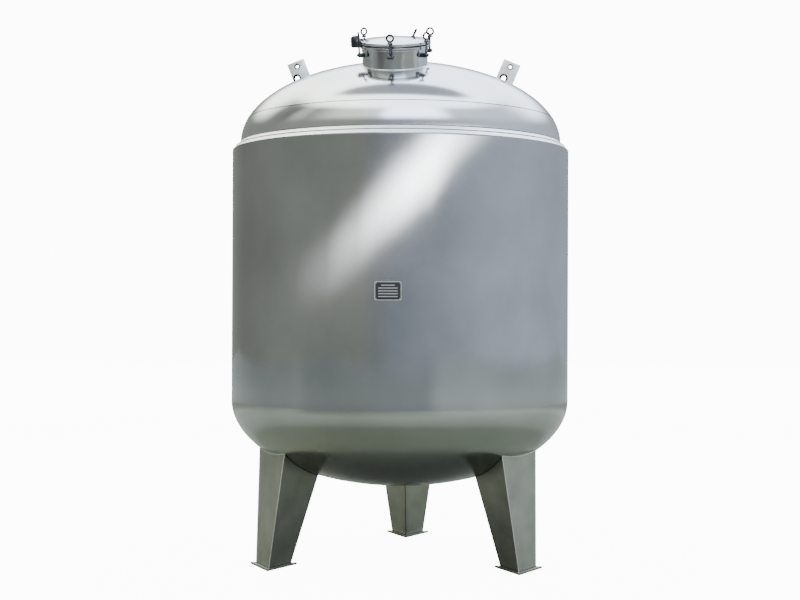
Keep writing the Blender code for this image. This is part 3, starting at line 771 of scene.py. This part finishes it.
def buildHandle(place):
    # a short rod with a rounded end on a chamfered foot
    foot = pinFrame(place, lidHandle["angle"], lidHandle["reach"], manway["lidTop"] + lidHandle["gap"])
    turn = Matrix.Rotation(radians(90 - lidHandle["angle"]), 4, "Z")
    lean = turn @ Matrix.Rotation(radians(lidHandle["lean"]), 4, "Y")
    wide, tall, soft = (lidHandle[key] for key in ("foot", "footTall", "footSoft"))
    pad = spinProfile([(0, 0), (wide, 0), (wide, tall - soft), (wide - soft, tall), (0, tall)], 32)
    handle = finishPiece("handleBar", pad, replaced=["lid_handle"], body="lid", matrix=foot)
    thick, long = lidHandle["thick"], lidHandle["length"]
    tip = [(thick * cos(radians(a)), long - thick + thick * sin(radians(a))) for a in range(0, 90, 15)]
    rod = spinProfile([(0, 0.003), (thick, 0.003)] + tip + [(0, long)], 24)
    joinBodies(handle, [spareObject(rod, foot @ lean)])


lug = {
    # each lug's distance from the axis, and how far its arch stands off the middle and how high
    "sides": {"lifting_lug_left": (-0.6165, -0.027, 0.042), "lifting_lug_right": (0.644, -0.012, 0.032)},
    "width": 0.112, "height": 0.143, "thick": 0.016, "soft": 0.0012, "eye": 0.0105, "eyeLining": 0.0075,
    "eyeDrop": 0.033, "arch": 0.014, "archLining": 0.0105, "proud": 0.0004, "gap": 0.0002,
    # the plate runs on below the head's skin and is trimmed to it by a solid that starts at trimFloor
    "sunk": 0.03, "trimFloor": 2.4,
}


def archOutline(middle, height, radius):
    turns = [radians(angle) for angle in range(0, 181, 9)]
    bend = [(middle + radius * cos(turn), height + radius * sin(turn)) for turn in turns]
    return [(middle + radius, -lug["sunk"])] + bend + [(middle - radius, -lug["sunk"])]


def headBody():
    # the head as a solid, to trim what stands on it
    skin = bowl(tank["vesselRadius"], tank["headDepth"], tank["vesselTop"], 1, 40, 0.0, tank["seamRadius"])
    floor = lug["trimFloor"]
    return spareObject(spinProfile([(0, floor), (tank["seamRadius"], floor)] + skin, 96))


def buildLug(name, replaced):
    # a sanded plate with an eye and an arched foot, both lined with near black as painted shade
    reach, *arch = lug["sides"][replaced]
    height, slope = headSlope(reach)
    place = Matrix.Translation((reach, 0, height)) @ Matrix.Rotation(slope, 4, "Y")
    tall, thick, sunk = (lug[key] for key in ("height", "thick", "sunk"))
    eyeOuter, archOuter = lug["eye"] + lug["eyeLining"], lug["arch"] + lug["archLining"]
    bm = bmesh.new()
    size = Matrix.Diagonal((lug["width"], thick, tall + sunk, 1))
    bmesh.ops.create_cube(bm, size=1, matrix=Matrix.Translation((0, 0, (tall - sunk) / 2)) @ size)
    softBevel(bm, list(bm.edges), lug["soft"])
    sanded = finishPiece(name, bm, "lugSandedPlateSteel", replaced=[replaced], matrix=place)
    eyeHeight = tall - lug["eyeDrop"]
    eye, foot = bmesh.new(), bmesh.new()
    addRod(eye, eyeOuter, (0, -2 * thick, eyeHeight), (0, 2 * thick, eyeHeight), 48, place)
    extrudeFace(foot, archOutline(*arch, archOuter), -2 * thick, 2 * thick)
    joinBodies(sanded, [spareObject(eye), spareObject(foot, place), headBody()], "DIFFERENCE")
    # the painted-shade linings stand a little proud of the plate
    half, gap = thick / 2 + lug["proud"], lug["gap"]
    inner, outer = archOutline(*arch, lug["arch"]), archOutline(*arch, archOuter - gap)
    bm = bmesh.new()
    extrudeFace(bm, outer + inner[::-1], -half, half)
    paintedShadeLining = finishPiece(name + "PaintedShadeLining", bm, "paintedShadeLiningSteel", matrix=place)
    r, wide = lug["eye"], eyeOuter - gap
    ring = spinProfile([(r, -half), (wide, -half), (wide, half), (r, half)], 48, closed=True)
    upright = place @ Matrix.Translation((0, 0, eyeHeight)) @ Matrix.Rotation(radians(90), 4, "X")
    joinBodies(paintedShadeLining, [headBody()], "DIFFERENCE")
    joinBodies(paintedShadeLining, [spareObject(ring, upright)])


leg = {
    "turns": {"leg_front_left": -60, "leg_front_right": 60, "leg_back": 180}, "plateTop": 0.012,
    "bottomSide": 0.21, "bottomReach": 0.853, "upperSide": 0.41, "upperReach": 0.737, "upperHeight": 0.7,
}


def legCorners(angle, height):
    share = (height - leg["plateTop"]) / (leg["upperHeight"] - leg["plateTop"])
    side = leg["bottomSide"] + (leg["upperSide"] - leg["bottomSide"]) * share
    reach = leg["bottomReach"] + (leg["upperReach"] - leg["bottomReach"]) * share
    turn = radians(angle)
    out = Vector((sin(turn), -cos(turn), 0))
    along = Vector((cos(turn), sin(turn), 0))
    level = Vector((0, 0, height))
    flat = out * (reach + side / (2 * sqrt(3))) + level
    return [out * (reach - side / sqrt(3)) + level, flat + along * side / 2, flat - along * side / 2]


def dishMeeting(angle, first, second, share):
    # where a line up a leg's face meets the dish
    low, high = 0.2, 0.9
    for step in range(30):
        middle = (low + high) / 2
        corners = legCorners(angle, middle)
        point = corners[first].lerp(corners[second], share)
        wide = (point.x ** 2 + point.y ** 2) / tank["jacketRadius"] ** 2
        deep = ((point.z - tank["dishBase"]) / tank["dishDepth"]) ** 2
        low, high = (low, middle) if wide + deep < 1 else (middle, high)
    return point


weld = {"seam": 0.003, "leg": 0.0035, "legUpright": 0.0028, "foot": 0.004, "neck": 0.004, "rim": 0.0022,
        "break": 0.00286, "lug": 0.003, "lugOut": 0.0015, "sunk": 0.001}


def ringPath(radius, height, count=192):
    turns = [2 * pi * k / count for k in range(count)]
    return [Vector((radius * cos(turn), radius * sin(turn), height)) for turn in turns]


def buildWelds(place):
    neck = [headLine(place, manway["neck"] + 0.002)]
    seam = tank["seamRadius"]
    crown = [ringPath(seam - weld["sunk"], headSlope(seam)[0] - weld["sunk"])]
    rims = [ringPath(tank["vesselRadius"] + 0.001, jacket["coneTop"] + 0.0005),
            ringPath(tank["jacketRadius"] - 0.0026, tank["jacketTop"] + 0.0006),
            ringPath(*jacket["coneBreak"])]
    rimSizes = [weld["rim"], weld["rim"], weld["break"]]
    for name, paths, sizes, sides, finishName, slotName in (
            ("neckWeld", neck, [weld["neck"]], 8, "weldBeadSteel", "polished_steel"),
            ("crownWeld", crown, [weld["seam"]], 6, "fittingsTurnedSteel", "polished_steel"),
            ("rimWelds", rims, rimSizes, 6, "fittingsTurnedSteel", "jacket_steel")):
        bm = bmesh.new()
        for path, size in zip(paths, sizes):
            addTube(bm, path, size, sides, closed=True)
        finishPiece(name, bm, finishName)
    bm = bmesh.new()
    for reach, middle, _ in lug["sides"].values():
        # a bead on each side of the arch, on both faces of the lug
        slope = cos(headSlope(reach)[1])
        foot, end = lug["arch"] + lug["archLining"], lug["width"] / 2
        for face in (-1, 1):
            across = face * (lug["thick"] / 2 + weld["lugOut"])
            for begin, stop in ((-end, middle - foot), (middle + foot, end)):
                spread = [reach + slope * (begin + (stop - begin) * k / 8) for k in range(9)]
                bead = [Vector((x, across, headSlope(sqrt(x * x + across * across))[0])) for x in spread]
                addTube(bm, bead, weld["lug"], 6)
    finishPiece("lugWelds", bm, "weldBeadSteel")
    for name, angle in leg["turns"].items():
        # corner 0 is the inner fold; the beads there, along the inner faces' tops and round the foot are
        # given a dark finish as painted shade
        bright, dark = bmesh.new(), bmesh.new()
        low = legCorners(angle, leg["plateTop"] + 0.0005)
        for k in range(3):
            other = (k + 1) % 3
            top = [dishMeeting(angle, k, other, step / 12) for step in range(13)]
            addTube(bright if k == 1 else dark, top, weld["leg"], 8)
            addTube(dark if k == 0 else bright, [low[k], top[0]], weld["legUpright"], 8)
            addTube(dark, [low[k], low[other]], weld["foot"], 8)
        finishPiece("brightWelds_" + name, bright, "weldBeadSteel")
        finishPiece("paintedShadeWelds_" + name, dark, "fittingsTurnedSteel")


plate = {"height": 1.652, "width": 0.15, "tall": 0.105, "corner": 0.008, "faceCorner": 0.0056,
         "border": 0.004, "thick": 0.0012, "faceThick": 0.0006, "gap": 0.0003, "rows": 5, "rowTall": 0.0045,
         "rowTop": 0.3, "rowStep": 0.15, "rowWidths": (0.5, 0.72), "rivet": 0.0022, "rivetInset": 0.009}


def roundedPlate(width, tall, depth, corner, front, height):
    bm = bmesh.new()
    size = Matrix.Diagonal((width, depth, tall, 1))
    bmesh.ops.create_cube(bm, size=1, matrix=Matrix.Translation((0, front + depth / 2, height)) @ size)
    softBevel(bm, [e for e in bm.edges if abs(e.verts[0].co.y - e.verts[1].co.y) > depth / 2], corner, 5)
    return bm


def buildPlate():
    # a bare dark plate with a bright rim and plain raised bars, and no lettering
    width, tall, height, thick = (plate[key] for key in ("width", "tall", "height", "thick"))
    front, inset = -(tank["jacketRadius"] + plate["gap"] + thick), plate["border"] * 2
    bm = roundedPlate(width, tall, thick, plate["corner"], front, height)
    finishPiece("plateRim", bm, "plateBrightBorder", ["nameplate"])
    face = front - plate["faceThick"]
    bm = roundedPlate(width - inset, tall - inset, plate["faceThick"], plate["faceCorner"], face, height)
    finishPiece("plateFace", bm, "plateEtchedDark")
    bm = bmesh.new()
    for row in range(plate["rows"]):
        level = height + tall * (plate["rowTop"] - plate["rowStep"] * row)
        size = Matrix.Diagonal((width * plate["rowWidths"][min(row, 1)], 0.0002, plate["rowTall"], 1))
        bmesh.ops.create_cube(bm, size=1, matrix=Matrix.Translation((0, face - 0.0001, level)) @ size)
    for x in (-1, 1):
        for z in (-1, 1):
            across, up = x * (width / 2 - plate["rivetInset"]), height + z * (tall / 2 - plate["rivetInset"])
            addRod(bm, plate["rivet"], (across, face - 0.0002, up), (across, face + 0.0002, up), 16)
    finishPiece("plateMarks", bm, "plateBrightBorder")


place = manwayFrame()
buildJacket()
print("jacket turned")
buildVessel(place)
print("vessel and its heads turned")
buildManway(place)
buildHandle(place)
for number, angle in enumerate(manway["boltTurns"], 1):
    buildSwingBolt(place, number, angle)
    buildBracket(place, number, angle)
buildHinge(place)
print("manway, lid and swing bolts made")
buildLug("lugLeft", "lifting_lug_left")
buildLug("lugRight", "lifting_lug_right")
buildWelds(place)
buildPlate()
print("lugs, welds and plate made")

# the solids that already have the right shape keep it and take a finish
dressed = {
    "legFoldedSheetSteel": [part + side for part in ("leg_", "foot_plate_")
                            for side in ("front_left", "front_right", "back")],
    "fittingsTurnedSteel": ["hinge_pin", "hinge_strap"],
}
for finishName, names in dressed.items():
    for name in names:
        nodes[name].data.materials.clear()
        nodes[name].data.materials.append(finish[finishName])
print("remaining solids given their finish")
